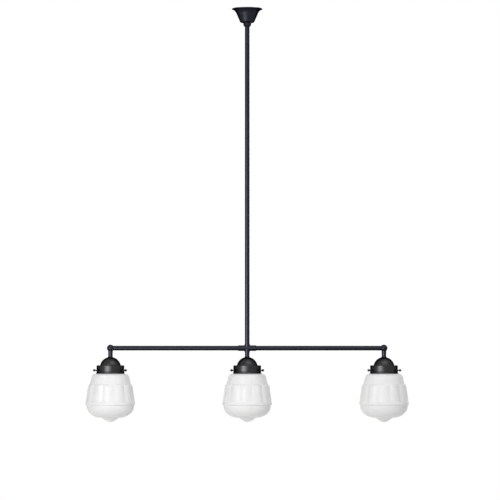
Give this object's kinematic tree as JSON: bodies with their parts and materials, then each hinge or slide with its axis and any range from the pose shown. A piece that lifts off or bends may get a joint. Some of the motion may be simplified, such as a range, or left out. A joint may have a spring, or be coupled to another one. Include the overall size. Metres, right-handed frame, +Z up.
{
  "type": "bar pendant ceiling lamp",
  "caption": "Ceiling pendant with a bell canopy, a long rod, a horizontal bar and opal glass shades held by thumbscrews in domed holders.",
  "frame": {"origin": "on the ceiling plane, on the rod's axis, midway between the slots of the ceiling bracket", "axes": "+Z up into the ceiling, +X along the bar to the right as pictured, -Y towards the viewer"},
  "size_m": [0.97, 0.15, 1.247],
  "materials": {
    "charcoal_metal": "satin",
    "holder_metal": "satin",
    "zinc_steel": "satin",
    "brass_fittings": "satin",
    "lampholder_plastic": "matte",
    "terminal_plastic": "matte",
    "lead_sheath": "matte",
    "cap_aluminium": "satin",
    "bulb_glass": "clear",
    "opal_glass": "gloss opal"
  },
  "bodies": {
    "ceiling_mount": {"ceiling_bracket": "zinc_steel", "earth_screw": "zinc_steel"},
    "swivel": {"swivel_yoke": "zinc_steel", "yoke_nut": "zinc_steel", "pivot_pin": "zinc_steel"},
    "pendant": {"rod_bow": "zinc_steel", "suspension_rod": "charcoal_metal", "terminal_block": "terminal_plastic", "left_lead": "lead_sheath", "middle_lead": "lead_sheath", "right_lead": "lead_sheath", "cross_fitting": "charcoal_metal", "left_arm": "charcoal_metal", "right_arm": "charcoal_metal", "left_ball": "charcoal_metal", "right_ball": "charcoal_metal", "left_stem": "charcoal_metal", "left_nipple": "brass_fittings", "left_dome": "holder_metal", "left_gallery": "holder_metal", "left_shade_ring": "lampholder_plastic", "left_lampholder": "lampholder_plastic", "left_lampholder_contacts": "brass_fittings", "left_shade": "opal_glass", "middle_stem": "charcoal_metal", "middle_nipple": "brass_fittings", "middle_dome": "holder_metal", "middle_gallery": "holder_metal", "middle_shade_ring": "lampholder_plastic", "middle_lampholder": "lampholder_plastic", "middle_lampholder_contacts": "brass_fittings", "middle_shade": "opal_glass", "right_stem": "charcoal_metal", "right_nipple": "brass_fittings", "right_dome": "holder_metal", "right_gallery": "holder_metal", "right_shade_ring": "lampholder_plastic", "right_lampholder": "lampholder_plastic", "right_lampholder_contacts": "brass_fittings", "right_shade": "opal_glass"},
    "canopy_set": {"canopy": "charcoal_metal", "canopy_collar": "charcoal_metal", "collar_screw": "zinc_steel"},
    "left_thumbscrew_left": {"left_thumbscrew_left": "holder_metal"},
    "left_thumbscrew_right": {"left_thumbscrew_right": "holder_metal"},
    "left_thumbscrew_back": {"left_thumbscrew_back": "holder_metal"},
    "left_bulb_unit": {"left_bulb": "bulb_glass", "left_bulb_cap": "cap_aluminium"},
    "middle_thumbscrew_left": {"middle_thumbscrew_left": "holder_metal"},
    "middle_thumbscrew_right": {"middle_thumbscrew_right": "holder_metal"},
    "middle_thumbscrew_back": {"middle_thumbscrew_back": "holder_metal"},
    "middle_bulb_unit": {"middle_bulb": "bulb_glass", "middle_bulb_cap": "cap_aluminium"},
    "right_thumbscrew_left": {"right_thumbscrew_left": "holder_metal"},
    "right_thumbscrew_right": {"right_thumbscrew_right": "holder_metal"},
    "right_thumbscrew_back": {"right_thumbscrew_back": "holder_metal"},
    "right_bulb_unit": {"right_bulb": "bulb_glass", "right_bulb_cap": "cap_aluminium"}
  },
  "joints": [
    {"name": "swivel_turn", "type": "hinge", "parent": "ceiling_mount", "child": "swivel", "pos_m": [0, 0, -0.0103], "axis": [0, 0, 1], "range_deg": [-175, 175]},
    {"name": "swivel_tilt", "type": "hinge", "parent": "swivel", "child": "pendant", "pos_m": [0, 0, -0.019], "axis": [1, 0, 0], "range_deg": [-4, 4]},
    {"name": "canopy_slide", "type": "slide", "parent": "pendant", "child": "canopy_set", "axis": [0, 0, 1], "range_m": [-0.94, 0]},
    {"name": "left_thumbscrew_left_out", "type": "slide", "parent": "pendant", "child": "left_thumbscrew_left", "axis": [-0.866, -0.5, 0], "range_m": [0, 0.004]},
    {"name": "left_thumbscrew_right_out", "type": "slide", "parent": "pendant", "child": "left_thumbscrew_right", "axis": [0.866, -0.5, 0], "range_m": [0, 0.004]},
    {"name": "left_thumbscrew_back_out", "type": "slide", "parent": "pendant", "child": "left_thumbscrew_back", "axis": [0, 1, 0], "range_m": [0, 0.004]},
    {"name": "left_bulb_out", "type": "slide", "parent": "pendant", "child": "left_bulb_unit", "axis": [0, 0, 1], "range_m": [-0.025, 0]},
    {"name": "middle_thumbscrew_left_out", "type": "slide", "parent": "pendant", "child": "middle_thumbscrew_left", "axis": [-0.866, -0.5, 0], "range_m": [0, 0.004]},
    {"name": "middle_thumbscrew_right_out", "type": "slide", "parent": "pendant", "child": "middle_thumbscrew_right", "axis": [0.866, -0.5, 0], "range_m": [0, 0.004]},
    {"name": "middle_thumbscrew_back_out", "type": "slide", "parent": "pendant", "child": "middle_thumbscrew_back", "axis": [0, 1, 0], "range_m": [0, 0.004]},
    {"name": "middle_bulb_out", "type": "slide", "parent": "pendant", "child": "middle_bulb_unit", "axis": [0, 0, 1], "range_m": [-0.025, 0]},
    {"name": "right_thumbscrew_left_out", "type": "slide", "parent": "pendant", "child": "right_thumbscrew_left", "axis": [-0.866, -0.5, 0], "range_m": [0, 0.004]},
    {"name": "right_thumbscrew_right_out", "type": "slide", "parent": "pendant", "child": "right_thumbscrew_right", "axis": [0.866, -0.5, 0], "range_m": [0, 0.004]},
    {"name": "right_thumbscrew_back_out", "type": "slide", "parent": "pendant", "child": "right_thumbscrew_back", "axis": [0, 1, 0], "range_m": [0, 0.004]},
    {"name": "right_bulb_out", "type": "slide", "parent": "pendant", "child": "right_bulb_unit", "axis": [0, 0, 1], "range_m": [-0.025, 0]}
  ]
}
